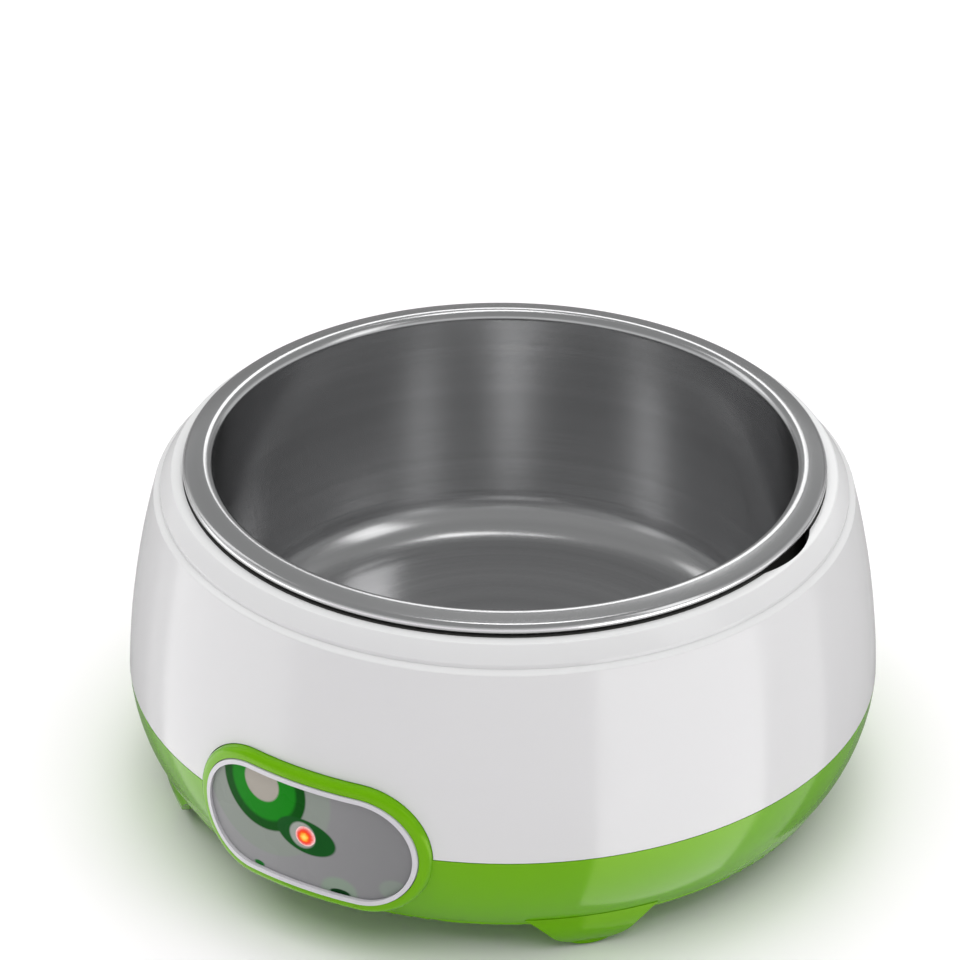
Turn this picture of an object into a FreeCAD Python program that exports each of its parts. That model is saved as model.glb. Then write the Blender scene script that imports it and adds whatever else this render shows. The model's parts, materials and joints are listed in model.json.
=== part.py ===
# Electric yogurt maker: a steel pot that lifts out of a warmed, two-colour plastic housing.
# Millimetres, +Z up, origin on the axis where the foot pads meet the table.
# The control panel faces -Y, the power inlet is at +Y, the finger notches are at +X and -X.
import FreeCAD, Part
import math
import os
import Sketcher

V = FreeCAD.Vector

# ---------------------------------------------------------------- driving dimensions
SIZES = {
    # overall
    "rim_radius": 77.5,          # outside of the pot's rolled rim
    "rim_height": 87.5,          # widest line of the pot's rim above the table
    "shoulder_width": 14.1,      # from the rim out to the widest part of the body
    "seam_height": 31.8,         # joint between the white shell and the base
    # pot
    "rim_width": 6.9,
    "pot_wall": 0.8,
    "pot_corner": 12.0,
    "mouth_flare": 0.6,
    "crest_rise": 0.8,
    "bead_radius": 1.1,
    "bead_drop": 1.5,
    "bead_round": 1.7,
    "bead_shoulder": 1.3,
    "crown_bow": 8.0,
    "crest_inset": 1.8,
    "crest_bow": 2.5,
    "throat_drop": 1.4,
    "throat_bow": 1.9,
    # shell
    "shell_wall": 2.2,
    "barrel_bow": 212.0,
    "lip_reveal": 2.7,
    "lip_drop": 3.1,
    "band_width": 5.5,
    "band_drop": 7.1,
    "step_height": 1.0,
    "ledge_width": 1.6,
    "ledge_drop": 0.8,
    "ring_thick": 2.0,
    "lip_round": 0.6,
    # finger notches
    "notch_radius": 25.0,
    "notch_reach": 1.9,
    "notch_depth": 12.0,
    "scoop_wall": 1.5,
    "scoop_drop": 2.5,
    # chamber liner
    "chamber_gap": 1.8,
    "liner_wall": 1.8,
    "liner_flange": 1.6,
    "gasket_thick": 0.6,
    "gasket_width": 2.2,
    "floor_gap": 2.5,
    "liner_corner": 14.0,
    "post_radius": 4.0,
    "post_length": 7.4,
    "post_room": 1.0,
    "plate_boss": 3.6,
    "boss_cap": 0.8,
    # base
    "base_wall": 2.4,
    "bowl_bow": 42.0,
    "bowl_inset": 8.3,
    "floor_height": 8.2,
    "edge_round": 1.0,
    "tongue_height": 4.0,
    "tongue_thick": 2.0,
    "tongue_root": 3.0,
    "boss_radius": 5.2,
    "boss_height": 4.8,
    "head_sink": 2.6,
    # feet
    "foot_circle": 76.0,
    "foot_half_width": 16.2,
    "foot_depth": 21.0,
    "foot_flare": 1.1,
    "foot_taper": 2.9,
    "foot_belly": 11.0,
    "foot_clearance": 0.5,
    "foot_toe": 10.0,
    "foot_bow": 13.2,
    "foot_blend": 28.0,
    "foot_knee": 4.5,
    "foot_root": 2.3,
    "foot_lip": 0.8,
    "pad_radius": 4.2,
    "pad_depth": 2.4,
    # panel on its raised collar
    "panel_width": 57.8,
    "panel_tall": 29.0,
    "panel_drop": 0.6,
    "panel_proud": 1.2,
    "panel_sunk": 0.5,
    "collar_rim": 2.6,
    "collar_depth": 13.0,
    "collar_round": 1.7,
    "bezel_width": 1.1,
    "bezel_proud": 0.4,
    "bezel_deep": 2.2,
    "ledge_inset": 2.0,
    # lamp and its board
    "lamp_across": 0.8,
    "lamp_drop": 0.1,
    "lens_radius": 2.6,
    "lens_dome": 0.7,
    "lens_flange": 3.5,
    "lens_flange_thick": 1.0,
    "lens_seat": 1.2,
    "led_radius": 1.5,
    "led_length": 4.2,
    "led_flange": 0.4,
    "led_flange_thick": 0.8,
    "board_thick": 1.6,
    "board_tall": 15.0,
    "board_width": 61.0,
    "board_round": 3.0,
    "board_screw_across": 28.4,
    "parts_offset": 3.0,
    "resistor_radius": 1.6,
    "resistor_length": 8.0,
    "resistor_across": 18.0,
    "diode_radius": 1.3,
    "diode_length": 5.0,
    "diode_across": 8.0,
    "lead_radius": 0.35,
    "lead_reach": 2.5,
    # heater
    "plate_thick": 1.5,
    "plate_margin": 15.8,
    "plate_rim": 11.0,
    "window_rim": 8.0,
    "plate_gap": 0.5,
    "seal_thick": 0.6,
    "seal_width": 5.5,
    "seal_inset": 0.5,
    "heater_screw_inset": 3.5,
    "ptc_length": 32.0,
    "ptc_width": 12.0,
    "ptc_thick": 4.0,
    "ptc_spacing": 15.0,
    "tab_reach": 3.6,
    "tab_width": 5.0,
    "tab_thick": 0.5,
    "mica_thick": 0.5,
    "mica_margin": 1.5,
    "clamp_thick": 1.2,
    "clamp_width": 18.0,
    "clamp_room": 4.6,
    "clamp_foot": 7.4,
    "fuse_radius": 2.1,
    "fuse_length": 12.0,
    "fuse_room": 1.0,
    "fuse_lead": 0.5,
    "fuse_lead_reach": 3.0,
    "clip_thick": 0.8,
    "clip_width": 7.0,
    "clip_room": 0.7,
    "clip_end": 2.4,
    "splice_radius": 1.7,
    "splice_length": 6.0,
    "splice_gap": 0.5,
    # inlet
    "inlet_rise": 10.8,
    "inlet_sunk": 6.6,
    "inlet_width": 29.0,
    "inlet_tall": 13.2,
    "inlet_flange": 1.8,
    "inlet_margin": 0.8,
    "inlet_round": 2.0,
    "inlet_surround": 4.0,
    "inlet_sink": 1.0,
    "inlet_body_width": 17.4,
    "inlet_body_tall": 11.0,
    "inlet_depth": 14.0,
    "socket_width": 13.9,
    "socket_tall": 8.3,
    "socket_depth": 12.0,
    "pin_radius": 1.2,
    "pin_pitch": 8.6,
    "pin_sunk": 2.5,
    "pin_tab": 5.5,
    "pin_tab_width": 4.0,
    "pin_tab_thick": 0.8,
    "crimp_length": 9.0,
    "crimp_wall": 0.5,
    "crimp_stand": 0.5,
    "inlet_screw_pitch": 23.0,
    # screws: radius of shank and head, height of head, length under the head
    "base_screw": 1.5,
    "base_head": 3.1,
    "base_head_tall": 2.2,
    "base_screw_length": 8.0,
    "heater_screw": 1.3,
    "heater_head": 2.7,
    "heater_head_tall": 1.8,
    "heater_screw_bite": 1.0,
    "board_screw": 1.0,
    "board_head": 2.0,
    "board_head_tall": 1.4,
    "board_screw_length": 4.6,
    "inlet_screw": 1.1,
    "inlet_head": 2.2,
    "inlet_head_tall": 1.3,
    "inlet_screw_length": 5.2,
    # small shared values
    "fit_gap": 0.2,
    "seat_gap": 0.3,
    "hole_gap": 0.2,
    "head_gap": 0.5,
    "pilot_gap": 0.05,
    "pilot_room": 0.4,
    "pilot_cap": 0.3,
    "inside_skin": 0.4,
    "past": 8.0,                 # how far a cutter runs past what it cuts
    "plate_corner": 1.0,
    "wire_radius": 1.1,
    "lamp_wire_radius": 0.7,
    "label_thick": 0.4,
    "label_length": 44.0,
    "label_width": 22.0,
    "label_round": 1.5,
}

# angles about the axis, counted from +X, and the two sides of the front-to-back plane
FEET = (45, 135, 225, 315)
POSTS = (25, 155, 205, 335)
NOTCHES = (0, 180)
SIDES = (("left", -1.0), ("right", 1.0))

doc = FreeCAD.newDocument("yogurt_maker")
sheet = doc.addObject("Spreadsheet::Sheet", "Sizes")
for row, (alias, number) in enumerate(SIZES.items(), start=1):
    sheet.set("A%d" % row, alias)
    sheet.set("B%d" % row, str(number))
    sheet.setAlias("B%d" % row, alias)
doc.recompute()


# ---------------------------------------------------------------- lengths written as sums
def value(text):
    """The number of a sum such as "rim_radius - pot_wall + 2*fit_gap"."""
    total = 0.0
    sign = 1
    for word in text.split():
        if word in ("+", "-"):
            sign = 1 if word == "+" else -1
            continue
        product = 1.0
        for factor in word.split("*"):
            product *= getattr(sheet, factor) if factor in SIZES else float(factor)
        total += sign * product
    return total


def formula(text):
    """The same sum as a FreeCAD expression on the sheet."""
    words = []
    for word in text.split():
        factors = ["Sizes." + item if item in SIZES else item for item in word.split("*")]
        words.append(" * ".join(factors))
    return " ".join(words)


def scaled(number, text):
    """The sum times a plain number, as a sum."""
    words = [word if word in ("+", "-") else "%r*%s" % (number, word) for word in text.split()]
    return " ".join(words)


def less(text, taken):
    """The first sum less the second, as a sum."""
    return text + " + " + scaled(-1.0, taken)


# ---------------------------------------------------------------- derived lengths
BODY_RADIUS = "rim_radius + shoulder_width"
MOUTH_RADIUS = "rim_radius - rim_width"
POT_INNER = MOUTH_RADIUS + " - mouth_flare"
POT_OUTER = POT_INNER + " + pot_wall"
LIP_RADIUS = "rim_radius + lip_reveal"
LIP_HEIGHT = "rim_height - lip_drop"
BAND_RADIUS = "rim_radius + band_width"
BAND_HEIGHT = "rim_height - band_drop"
LEDGE_RADIUS = BAND_RADIUS + " + ledge_width"
LEDGE_HEIGHT = BAND_HEIGHT + " - step_height - ledge_drop"
PANEL_HEIGHT = "seam_height - panel_drop"
NOTCH_CENTRE = "rim_radius + notch_reach - notch_radius"

LINER_INNER = POT_OUTER + " + chamber_gap"
LINER_OUTER = LINER_INNER + " + liner_wall"
LINER_EDGE = "rim_radius - fit_gap"
BEAD_BOTTOM = "rim_height - bead_drop - bead_radius"
LINER_TOP = BEAD_BOTTOM + " - seat_gap"
LINER_UNDER = LINER_TOP + " - liner_flange"
RING_HEIGHT = LINER_UNDER + " - gasket_thick"
RING_INNER = LINER_OUTER + " + fit_gap"

FLOOR_TOP = "floor_height + base_wall"
BOSS_TOP = "floor_height + boss_height"
LINER_FLOOR_UNDER = BOSS_TOP + " + post_length"
LINER_FLOOR_TOP = LINER_FLOOR_UNDER + " + liner_wall"
POT_BASE = LINER_FLOOR_TOP + " + floor_gap"
DISH_TOP = POT_BASE + " - plate_gap"
DISH_UNDER = DISH_TOP + " - plate_thick"
PLATE_RADIUS = POT_OUTER + " - plate_margin"
DISH_RADIUS = PLATE_RADIUS + " - plate_rim"
HEATER_CIRCLE = PLATE_RADIUS + " - heater_screw_inset"
POST_CIRCLE = PLATE_RADIUS + " + post_radius + post_room"
PLATE_TOP = LINER_FLOOR_UNDER + " - seal_thick"
PLATE_UNDER = PLATE_TOP + " - plate_thick"
PTC_UNDER = DISH_UNDER + " - ptc_thick"
MICA_UNDER = PTC_UNDER + " - mica_thick"
CLAMP_UNDER = MICA_UNDER + " - clamp_thick"
CLAMP_SEAT = DISH_UNDER + " - clamp_thick"
CLAMP_HALF = "0.5*ptc_length + clamp_room + clamp_foot"
CLAMP_HOLE = "0.5*ptc_length + clamp_room + 0.5*clamp_thick + 0.5*clamp_foot"
FUSE_Y = "0.5*ptc_spacing + 0.5*ptc_width + mica_margin + fuse_room + fuse_radius"
FUSE_Z = DISH_UNDER + " - fuse_radius - 0.5*fit_gap"
FUSE_HOLE = FUSE_Y + " + fuse_radius + clip_thick + clip_room + heater_head"
TAB_HEIGHT = DISH_UNDER + " - 0.5*ptc_thick"

COLLAR_RADIUS = BODY_RADIUS + " + panel_proud"
COLLAR_BACK = COLLAR_RADIUS + " - collar_depth"
PANEL_FACE = COLLAR_RADIUS + " - panel_sunk"
PANEL_BACK = COLLAR_RADIUS + " + bezel_proud - bezel_deep"
BEZEL_FACE = COLLAR_RADIUS + " + bezel_proud"
LAMP_HEIGHT = PANEL_HEIGHT + " - lamp_drop"
INLET_PLANE = BODY_RADIUS + " - inlet_sunk"
INLET_FACE = INLET_PLANE + " + inlet_flange"
INLET_WALL = INLET_PLANE + " - base_wall"
INLET_BACK = INLET_PLANE + " - inlet_depth"
INLET_HEIGHT = "floor_height + inlet_rise"
CRIMP_END = INLET_BACK + " - crimp_length - crimp_stand"
LENS_BACK = PANEL_BACK + " - lens_seat"
BOARD_FACE = "-1*rim_radius - shoulder_width - panel_proud + collar_depth"
BOARD_BACK = BOARD_FACE + " + board_thick"


# ---------------------------------------------------------------- document helpers
def corner(across, up, bow=None, side=1):
    """One corner of an outline; bow is the radius of the arc that leaves it."""
    return across, up, bow, side


def arc_centre(start, end, radius, side):
    """Centre of the arc from start to end that bulges to the right (side 1) or left."""
    mid = (start + end) / 2
    half = (end - start) / 2
    rise = math.sqrt(max(radius * radius - half.Length ** 2, 0.0))
    normal = V(-half.y, half.x, 0).normalize()
    return mid + normal * rise * side


def add_edges(sketch, corners):
    """Draws the closed outline and ties every corner and bow to the sheet."""
    points = [V(value(item[0]), value(item[1]), 0) for item in corners]
    starts = []
    for index, (across, up, bow, side) in enumerate(corners):
        start = points[index]
        end = points[(index + 1) % len(points)]
        if bow is None:
            sketch.addGeometry(Part.LineSegment(start, end), False)
            starts.append((1, 2))
            continue
        radius = value(bow)
        centre = arc_centre(start, end, radius, side)
        first = math.atan2(start.y - centre.y, start.x - centre.x)
        last = math.atan2(end.y - centre.y, end.x - centre.x)
        circle = Part.Circle(centre, V(0, 0, 1), radius)
        if side == 1:
            sketch.addGeometry(Part.ArcOfCircle(circle, first, last), False)
            starts.append((1, 2))
        else:
            sketch.addGeometry(Part.ArcOfCircle(circle, last, first), False)
            starts.append((2, 1))
    for index in range(len(corners)):
        following = (index + 1) % len(corners)
        ends = (index, starts[index][1], following, starts[following][0])
        sketch.addConstraint(Sketcher.Constraint("Coincident", *ends))
    for index, (across, up, bow, side) in enumerate(corners):
        vertex = starts[index][0]
        tie_point(sketch, index, vertex, across, up)
        if bow is not None:
            number = sketch.addConstraint(Sketcher.Constraint("Radius", index, value(bow)))
            sketch.setExpression("Constraints[%d]" % number, formula(bow))


def tie_point(sketch, edge, vertex, across, up):
    """Fixes one end of an edge at (across, up) from the sketch's origin."""
    for kind, text, axis in (("DistanceX", across, -2), ("DistanceY", up, -1)):
        if abs(value(text)) < 1e-9:
            sketch.addConstraint(Sketcher.Constraint("PointOnObject", edge, vertex, axis))
            continue
        rule = Sketcher.Constraint(kind, -1, 1, edge, vertex, value(text))
        number = sketch.addConstraint(rule)
        sketch.setExpression("Constraints[%d]" % number, formula(text))


def origin_plane(body, role):
    """The body's own origin plane, found by its role."""
    for item in body.Origin.OriginFeatures:
        if item.Role == role:
            return item
    raise ValueError("no plane " + role)


def attached_sketch(body, name, role, offset=None):
    """An empty sketch on one of the body's origin planes, moved along its normal."""
    sketch = body.newObject("Sketcher::SketchObject", name)
    sketch.AttachmentSupport = [(origin_plane(body, role), "")]
    sketch.MapMode = "FlatFace"
    if offset is not None:
        sketch.setExpression("AttachmentOffset.Base.z", formula(offset))
    return sketch


def turned(name, corners):
    """A body made by turning an outline (radius, height) about the Z axis."""
    body = doc.addObject("PartDesign::Body", name)
    sketch = attached_sketch(body, name + "_section", "XZ_Plane")
    add_edges(sketch, corners)
    spin = body.newObject("PartDesign::Revolution", name + "_turn")
    spin.Profile = sketch
    spin.ReferenceAxis = (sketch, ["V_Axis"])
    spin.Angle = 360
    body.Tip = spin
    doc.recompute()
    return body


def extruded(name, role, corners, offset, length):
    """A body made by padding an outline along its plane's normal, from offset by length."""
    body = doc.addObject("PartDesign::Body", name)
    sketch = attached_sketch(body, name + "_outline", role, offset)
    add_edges(sketch, corners)
    pad = body.newObject("PartDesign::Pad", name + "_pad")
    pad.Profile = sketch
    pad.setExpression("Length", formula(length))
    body.Tip = pad
    doc.recompute()
    return body


def stadium(inset):
    """Corners of the panel's round-ended outline, smaller all round by inset."""
    flat = "0.5*panel_width - 0.5*panel_tall"
    back = "0.5*panel_tall - 0.5*panel_width"
    low = PANEL_HEIGHT + " - 0.5*panel_tall + " + inset
    high = less(PANEL_HEIGHT + " + 0.5*panel_tall", inset)
    bow = less("0.5*panel_tall", inset)
    tip = less("0.5*panel_width", inset)
    return [corner(back, low), corner(flat, low, bow), corner(tip, PANEL_HEIGHT, bow),
            corner(flat, high), corner(back, high, bow),
            corner(scaled(-1.0, tip), PANEL_HEIGHT, bow)]


def cylinder(name, radius, low, height, x="0", y="0"):
    """An upright cylinder."""
    item = doc.addObject("Part::Cylinder", name)
    item.setExpression("Radius", formula(radius))
    item.setExpression("Height", formula(height))
    item.setExpression("Placement.Base.x", formula(x))
    item.setExpression("Placement.Base.y", formula(y))
    item.setExpression("Placement.Base.z", formula(low))
    return item


def rod(name, radius, length, x, y, z, direction):
    """A cylinder that lies along X or Y, from its start point."""
    item = doc.addObject("Part::Cylinder", name)
    item.setExpression("Radius", formula(radius))
    item.setExpression("Height", formula(length))
    item.Placement = FreeCAD.Placement(V(), FreeCAD.Rotation(V(0, 0, 1), direction))
    item.setExpression("Placement.Base.x", formula(x))
    item.setExpression("Placement.Base.y", formula(y))
    item.setExpression("Placement.Base.z", formula(z))
    return item


def block(name, length, width, height, x, y, z):
    """A box, given by its sides and its lowest corner."""
    item = doc.addObject("Part::Box", name)
    item.setExpression("Length", formula(length))
    item.setExpression("Width", formula(width))
    item.setExpression("Height", formula(height))
    item.setExpression("Placement.Base.x", formula(x))
    item.setExpression("Placement.Base.y", formula(y))
    item.setExpression("Placement.Base.z", formula(z))
    return item


def cut(name, base, tool):
    """The base with the tool taken away."""
    item = doc.addObject("Part::Cut", name)
    item.Base = base
    item.Tool = tool
    return item


def common(name, first, second):
    """What two objects share."""
    item = doc.addObject("Part::Common", name)
    item.Base = first
    item.Tool = second
    return item


def fused(name, shapes):
    """Several objects as one solid."""
    item = doc.addObject("Part::MultiFuse", name)
    item.Shapes = shapes
    return item


def group(name, shapes):
    """Several separate solids as one object."""
    item = doc.addObject("Part::Compound", name)
    item.Links = shapes
    return item


def turn_about_axis(item, angle):
    """Turns an object about the Z axis through the origin."""
    item.Placement = FreeCAD.Placement(V(), FreeCAD.Rotation(V(0, 0, 1), angle))
    return item


def round_edges(name, base, radius, wanted):
    """Fillets the edges that wanted(edge) picks."""
    doc.recompute()
    item = doc.addObject("Part::Fillet", name)
    item.Base = base
    picked = [n for n, edge in enumerate(base.Shape.Edges, start=1) if wanted(edge)]
    item.Edges = [(n, value(radius), value(radius)) for n in picked]
    doc.recompute()
    return item


NODES = []


def node(item, label):
    """Marks a finished sub-part, whose label names its file."""
    item.Label = label
    NODES.append(item)
    return item


def screw_shape(kind, length):
    """A cross-head screw whose head rests on the origin and whose tip points up."""
    shank_radius = value(kind + "_screw")
    head_radius = value(kind + "_head")
    head_height = value(kind + "_head_tall")
    shank = Part.makeCylinder(shank_radius, length - shank_radius)
    tip = Part.makeCone(shank_radius, 0.2 * shank_radius, shank_radius,
                        V(0, 0, length - shank_radius))
    head = Part.makeCylinder(head_radius, head_height, V(0, 0, -head_height))
    rim = [edge for edge in head.Edges if abs(edge.CenterOfMass.z + head_height) < 1e-6]
    head = head.makeFillet(0.3 * head_height, rim)
    slot_width = 0.3 * head_height
    slot = Part.makeBox(head_radius, slot_width, head_height)
    slot.translate(V(-head_radius / 2, -slot_width / 2, -1.55 * head_height))
    cross = slot.copy()
    cross.rotate(V(), V(0, 0, 1), 90)
    return head.fuse([shank, tip]).removeSplitter().cut(slot).cut(cross)


def screw_set(label, kind, length, places):
    """A node of identical screws; each place is (x, y, z, direction of the tip)."""
    screws = []
    for number, (x, y, z, direction) in enumerate(places):
        item = doc.addObject("Part::Feature", "%s_%d" % (label, number))
        item.Shape = screw_shape(kind, value(length))
        turn = FreeCAD.Rotation(V(0, 0, 1), direction)
        item.Placement = FreeCAD.Placement(V(value(x), value(y), value(z)), turn)
        screws.append(item)
    return node(group(label + "_group", screws), label)


def around(radius, angle):
    """The point of a circle at an angle, as two sums."""
    cosine = round(math.cos(math.radians(angle)), 9)
    sine = round(math.sin(math.radians(angle)), 9)
    return scaled(cosine, radius), scaled(sine, radius)


UP = V(0, 0, 1)
FRONT = V(0, -1, 0)
BACK = V(0, 1, 0)
RIGHT = V(1, 0, 0)


# ---------------------------------------------------------------- inner pot
def make_inner_pot():
    """Pressed steel pot with a rolled rim that hangs it in the chamber."""
    crest = "rim_height + crest_rise"
    bead_height = "rim_height - bead_drop"
    outline = [
        corner("0", POT_BASE),
        corner(POT_OUTER + " - pot_corner", POT_BASE, "pot_corner"),
        corner(POT_OUTER, POT_BASE + " + pot_corner"),
        corner(POT_OUTER, "rim_height - throat_drop", "throat_bow", -1),
        corner(MOUTH_RADIUS + " + crest_inset", crest + " - pot_wall"),
        corner("rim_radius - 2*bead_radius - 0.5*pot_wall", "rim_height - pot_wall"),
        corner("rim_radius - 2*bead_radius", bead_height, "bead_radius"),
        corner("rim_radius - bead_radius", BEAD_BOTTOM, "bead_radius"),
        corner("rim_radius", bead_height, "bead_round"),
        corner("rim_radius - bead_shoulder", "rim_height", "crown_bow"),
        corner(MOUTH_RADIUS + " + crest_inset", crest, "crest_bow"),
        corner(POT_INNER, bead_height),
        corner(POT_INNER, POT_BASE + " + pot_corner", "pot_corner - pot_wall", -1),
        corner(POT_OUTER + " - pot_corner", POT_BASE + " + pot_wall"),
        corner("0", POT_BASE + " + pot_wall"),
    ]
    return node(turned("pot", outline), "inner_pot")


# ---------------------------------------------------------------- chamber liner
def notch_cutter(name, angle, low, height):
    """Upright cylinder that scoops a finger notch at +X or -X."""
    across, along = around(NOTCH_CENTRE, angle)
    return cylinder(name, "notch_radius", low, height, across, along)


def make_liner():
    """Chamber wall, floor with the heater window, hanging flange and screw posts."""
    outline = [
        corner(PLATE_RADIUS + " - window_rim", LINER_FLOOR_UNDER),
        corner(LINER_OUTER + " - liner_corner", LINER_FLOOR_UNDER, "liner_corner"),
        corner(LINER_OUTER, LINER_FLOOR_UNDER + " + liner_corner"),
        corner(LINER_OUTER, LINER_UNDER),
        corner(LINER_EDGE, LINER_UNDER),
        corner(LINER_EDGE, LINER_TOP),
        corner(LINER_INNER, LINER_TOP),
        corner(LINER_INNER, LINER_FLOOR_UNDER + " + liner_corner", "liner_corner - liner_wall", -1),
        corner(LINER_OUTER + " - liner_corner", LINER_FLOOR_TOP),
        corner(PLATE_RADIUS + " - window_rim", LINER_FLOOR_TOP),
    ]
    well = turned("liner_well", outline)
    posts = []
    holes = []
    for angle in POSTS:
        x, y = around(POST_CIRCLE, angle)
        posts.append(cylinder("liner_post_%d" % angle, "post_radius", BOSS_TOP,
                              "post_length + 0.5*liner_wall", x, y))
        holes.append(cylinder("post_pilot_%d" % angle, "base_screw + pilot_gap", BOSS_TOP,
                              "base_screw_length + head_sink - boss_height + pilot_room", x, y))
    for angle in FEET:
        x, y = around(HEATER_CIRCLE, angle)
        posts.append(cylinder("plate_boss_%d" % angle, "plate_boss", LINER_FLOOR_TOP + " - 0.5*liner_wall",
                              "0.5*liner_wall + floor_gap - plate_gap", x, y))
        holes.append(cylinder("plate_pilot_%d" % angle, "heater_screw + pilot_gap",
                              LINER_FLOOR_UNDER, "liner_wall + floor_gap - plate_gap - boss_cap",
                              x, y))
    scoops = [notch_cutter("liner_notch_%d" % angle, angle, LINER_UNDER + " - gasket_thick",
                           "liner_flange + gasket_thick + past") for angle in NOTCHES]
    wall = cylinder("liner_notch_core", LINER_OUTER, LINER_UNDER + " - past",
                    "liner_flange + 3*past")
    notches = cut("liner_notches", fused("liner_scoops", scoops), wall)
    solid = fused("liner_solid", [well] + posts)
    drilled = cut("liner_drilled", solid, fused("liner_pilots", holes))
    return node(cut("liner", drilled, notches), "chamber_liner")


def make_gasket():
    """Silicone ring between the liner's flange and the shell."""
    ring = turned("gasket_ring", [
        corner(RING_INNER, RING_HEIGHT),
        corner(RING_INNER + " + gasket_width", RING_HEIGHT),
        corner(RING_INNER + " + gasket_width", LINER_UNDER),
        corner(RING_INNER, LINER_UNDER),
    ])
    cutters = [notch_cutter("gasket_notch_%d" % angle, angle, RING_HEIGHT + " - past",
                            "gasket_thick + 2*past") for angle in NOTCHES]
    return node(cut("gasket", ring, fused("gasket_cutters", cutters)), "liner_gasket")


# ---------------------------------------------------------------- outer shell
def make_shell():
    """White barrel with a stepped shoulder, finger notches and a window for the collar."""
    inner_foot = "rim_radius + shoulder_width - shell_wall"
    outline = [
        corner(inner_foot, "seam_height"),
        corner(BODY_RADIUS, "seam_height", "barrel_bow"),
        corner(LEDGE_RADIUS, LEDGE_HEIGHT),
        corner(BAND_RADIUS, BAND_HEIGHT + " - step_height"),
        corner(BAND_RADIUS, BAND_HEIGHT),
        corner(LIP_RADIUS, LIP_HEIGHT),
        corner("rim_radius", LIP_HEIGHT),
        corner("rim_radius", RING_HEIGHT),
        corner(RING_INNER, RING_HEIGHT),
        corner(RING_INNER, RING_HEIGHT + " - ring_thick"),
        corner(LIP_RADIUS + " - 1.2*shell_wall", RING_HEIGHT + " - ring_thick"),
        corner(LEDGE_RADIUS + " - shell_wall", LEDGE_HEIGHT + " - 0.5*shell_wall",
               "barrel_bow", -1),
    ]
    barrel = turned("shell_barrel", outline)
    rounded = round_edges("shell_rounded", barrel, "lip_round", shell_edge)
    floor = LIP_HEIGHT + " - notch_depth"
    cups = []
    cutters = []
    for angle in NOTCHES:
        across, along = around(NOTCH_CENTRE, angle)
        cups.append(cylinder("scoop_cup_%d" % angle, "notch_radius + scoop_wall",
                             floor + " - scoop_wall", "notch_depth + scoop_wall - scoop_drop",
                             across, along))
        cutters.append(notch_cutter("scoop_cut_%d" % angle, angle, floor, "notch_depth + past"))
    envelope = turned("shell_envelope", [
        corner(RING_INNER, floor + " - past"),
        corner(LEDGE_RADIUS, floor + " - past"),
        corner(LEDGE_RADIUS + " - inside_skin", LEDGE_HEIGHT),
        corner(BAND_RADIUS + " - inside_skin", BAND_HEIGHT),
        corner(LIP_RADIUS + " - inside_skin", LIP_HEIGHT),
        corner(RING_INNER, LIP_HEIGHT),
    ])
    scoops = common("shell_scoops", fused("scoop_cups", cups), envelope)
    solid = fused("shell_solid", [rounded, scoops])
    window = extruded("collar_window", "XZ_Plane", stadium("-1*collar_rim - fit_gap"),
                      COLLAR_BACK + " - past", "collar_depth + 2*past")
    openings = fused("shell_openings", cutters + [window])
    return node(cut("shell", solid, openings), "outer_shell")


def shell_edge(edge):
    """The outer corners of the lip, the band and the ledge."""
    if not isinstance(edge.Curve, Part.Circle):
        return False
    steps = ((LIP_RADIUS, LIP_HEIGHT), (BAND_RADIUS, BAND_HEIGHT), (LEDGE_RADIUS, LEDGE_HEIGHT))
    return any(abs(edge.Curve.Radius - value(radius)) < 0.01
               and abs(edge.CenterOfMass.z - value(height)) < 0.01 for radius, height in steps)


# ---------------------------------------------------------------- lower base
def make_bowl():
    """The green bowl with its flat floor and the tongue that enters the shell."""
    tongue_out = BODY_RADIUS + " - shell_wall - fit_gap"
    tongue_in = tongue_out + " - tongue_thick"
    edge = BODY_RADIUS + " - bowl_inset"
    outline = [
        corner("0", "floor_height"),
        corner(edge + " - edge_round", "floor_height", "edge_round"),
        corner(edge, "floor_height + edge_round", "bowl_bow"),
        corner(BODY_RADIUS, "seam_height - fit_gap"),
        corner(tongue_out, "seam_height - fit_gap"),
        corner(tongue_out, "seam_height + tongue_height"),
        corner(tongue_in, "seam_height + tongue_height"),
        corner(tongue_in, "seam_height - tongue_root", "bowl_bow - base_wall", -1),
        corner(edge + " - base_wall", FLOOR_TOP),
        corner("0", FLOOR_TOP),
    ]
    return turned("bowl", outline)


def make_feet():
    """Four tapered feet moulded under the bowl's edge."""
    top = "floor_height + foot_root"
    shapes = []
    for angle in FEET:
        body = extruded("foot_%d" % angle, "XZ_Plane", [
            corner("-1*foot_half_width", top, "foot_blend", -1),
            corner("-1*foot_toe", "foot_clearance + foot_knee", "foot_bow"),
            corner("foot_toe", "foot_clearance + foot_knee", "foot_blend", -1),
            corner("foot_half_width", top),
        ], "foot_circle - 0.5*foot_depth", "foot_depth")
        shapes.append(turn_about_axis(body, angle - 270))
    top_radius = BODY_RADIUS + " - bowl_inset + foot_flare"
    skirt = turned("foot_skirt", [
        corner("0", "-1*past"),
        corner(top_radius + " - foot_taper", "-1*past"),
        corner(top_radius + " - foot_taper", "foot_clearance + foot_lip", "foot_belly"),
        corner(top_radius, top),
        corner("0", top),
    ])
    return common("feet", fused("feet_rough", shapes), skirt)


def make_collar():
    """Raised round-ended collar that carries the panel."""
    prism = extruded("collar_prism", "XZ_Plane", stadium("-1*collar_rim"),
                     COLLAR_BACK, "collar_depth + past")
    drum = cylinder("collar_drum", COLLAR_RADIUS, "0", "2*seam_height + collar_rim + panel_tall")
    face = common("collar_face", prism, drum)
    return round_edges("collar", face, "collar_round", collar_edge)


def collar_edge(edge):
    """Edges of the collar that lie on its curved front."""
    samples = edge.discretize(5)
    return all(abs(math.hypot(p.x, p.y) - value(COLLAR_RADIUS)) < 0.01 for p in samples)


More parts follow.
